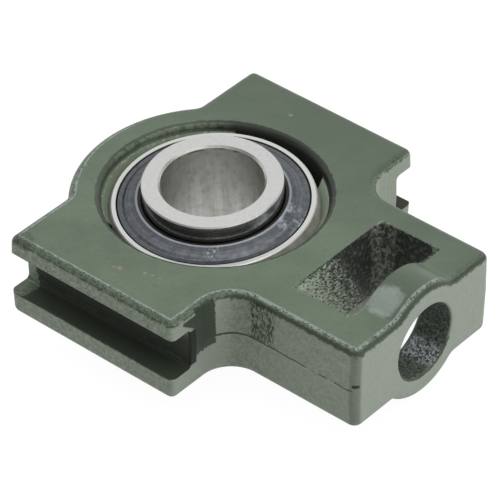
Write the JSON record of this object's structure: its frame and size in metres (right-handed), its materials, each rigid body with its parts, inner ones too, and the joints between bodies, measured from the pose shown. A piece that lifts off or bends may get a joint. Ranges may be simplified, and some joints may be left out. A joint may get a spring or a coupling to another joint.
{
  "type": "take-up bearing unit",
  "caption": "Cast slide housing with guide slots, a nut pocket and a rod hole, round a self-aligning ball bearing for a shaft with set screws.",
  "frame": {"origin": "centre of the spherical bearing seat, on the shaft axis", "axes": "+Z along the shaft axis away from the set screws, +X towards the adjusting-rod hole, guide slots on the -Y and +Y sides; the housing leans 4.3 degrees about X on the insert"},
  "size_m": [0.1015, 0.0895, 0.0341],
  "materials": {
    "cast_housing": "dark green enamel over rough cast iron",
    "bearing_steel": "ground bearing steel",
    "ball_steel": "polished",
    "cage_steel": "pressed sheet steel",
    "shield_steel": "blue-black oxide on pressed steel",
    "seal_rubber": "matt",
    "black_screw": "black oxide",
    "plated_nipple": "zinc plated"
  },
  "bodies": {
    "housing": {"housing": "cast_housing", "grease_nipple": "plated_nipple"},
    "outer_ring": {"outer_ring": "bearing_steel", "front_shield": "shield_steel", "rear_shield": "shield_steel", "front_seal_lip": "seal_rubber", "rear_seal_lip": "seal_rubber"},
    "inner_ring": {"inner_ring": "bearing_steel", "set_screw_1": "black_screw", "set_screw_2": "black_screw"},
    "cage": {"cage_half_front": "cage_steel", "cage_half_rear": "cage_steel", "cage_rivets": "cage_steel"},
    "ball_1": {"ball_1": "ball_steel"},
    "ball_2": {"ball_2": "ball_steel"},
    "ball_3": {"ball_3": "ball_steel"},
    "ball_4": {"ball_4": "ball_steel"},
    "ball_5": {"ball_5": "ball_steel"},
    "ball_6": {"ball_6": "ball_steel"},
    "ball_7": {"ball_7": "ball_steel"},
    "ball_8": {"ball_8": "ball_steel"},
    "ball_9": {"ball_9": "ball_steel"}
  },
  "joints": [
    {"name": "seat_tilt", "type": "hinge", "parent": "housing", "child": "outer_ring", "pos_m": [0, 0, 0], "axis": [1, 0, 0], "range_deg": [-9.3, 0.7]},
    {"name": "shaft_spin", "type": "hinge", "parent": "outer_ring", "child": "inner_ring", "pos_m": [0, 0, 0], "axis": [0, 0, 1], "continuous": true},
    {"name": "cage_orbit", "type": "hinge", "parent": "outer_ring", "child": "cage", "pos_m": [0, 0, 0], "axis": [0, 0, 1], "continuous": true},
    {"name": "ball_1_spin", "type": "hinge", "parent": "cage", "child": "ball_1", "pos_m": [0.0195, 0, 0], "axis": [0, 0, 1], "continuous": true},
    {"name": "ball_2_spin", "type": "hinge", "parent": "cage", "child": "ball_2", "pos_m": [0.01494, 0.01253, 0], "axis": [0, 0, 1], "continuous": true},
    {"name": "ball_3_spin", "type": "hinge", "parent": "cage", "child": "ball_3", "pos_m": [0.00339, 0.0192, 0], "axis": [0, 0, 1], "continuous": true},
    {"name": "ball_4_spin", "type": "hinge", "parent": "cage", "child": "ball_4", "pos_m": [-0.00975, 0.01689, 0], "axis": [0, 0, 1], "continuous": true},
    {"name": "ball_5_spin", "type": "hinge", "parent": "cage", "child": "ball_5", "pos_m": [-0.01832, 0.00667, 0], "axis": [0, 0, 1], "continuous": true},
    {"name": "ball_6_spin", "type": "hinge", "parent": "cage", "child": "ball_6", "pos_m": [-0.01832, -0.00667, 0], "axis": [0, 0, 1], "continuous": true},
    {"name": "ball_7_spin", "type": "hinge", "parent": "cage", "child": "ball_7", "pos_m": [-0.00975, -0.01689, 0], "axis": [0, 0, 1], "continuous": true},
    {"name": "ball_8_spin", "type": "hinge", "parent": "cage", "child": "ball_8", "pos_m": [0.00339, -0.0192, 0], "axis": [0, 0, 1], "continuous": true},
    {"name": "ball_9_spin", "type": "hinge", "parent": "cage", "child": "ball_9", "pos_m": [0.01494, -0.01253, 0], "axis": [0, 0, 1], "continuous": true}
  ],
  "couplings": [
    {"joint": "cage_orbit", "follows": "shaft_spin", "ratio": 0.39823},
    {"joint": "ball_1_spin", "follows": "shaft_spin", "ratio": -2.3548},
    {"joint": "ball_2_spin", "follows": "shaft_spin", "ratio": -2.3548},
    {"joint": "ball_3_spin", "follows": "shaft_spin", "ratio": -2.3548},
    {"joint": "ball_4_spin", "follows": "shaft_spin", "ratio": -2.3548},
    {"joint": "ball_5_spin", "follows": "shaft_spin", "ratio": -2.3548},
    {"joint": "ball_6_spin", "follows": "shaft_spin", "ratio": -2.3548},
    {"joint": "ball_7_spin", "follows": "shaft_spin", "ratio": -2.3548},
    {"joint": "ball_8_spin", "follows": "shaft_spin", "ratio": -2.3548},
    {"joint": "ball_9_spin", "follows": "shaft_spin", "ratio": -2.3548}
  ]
}
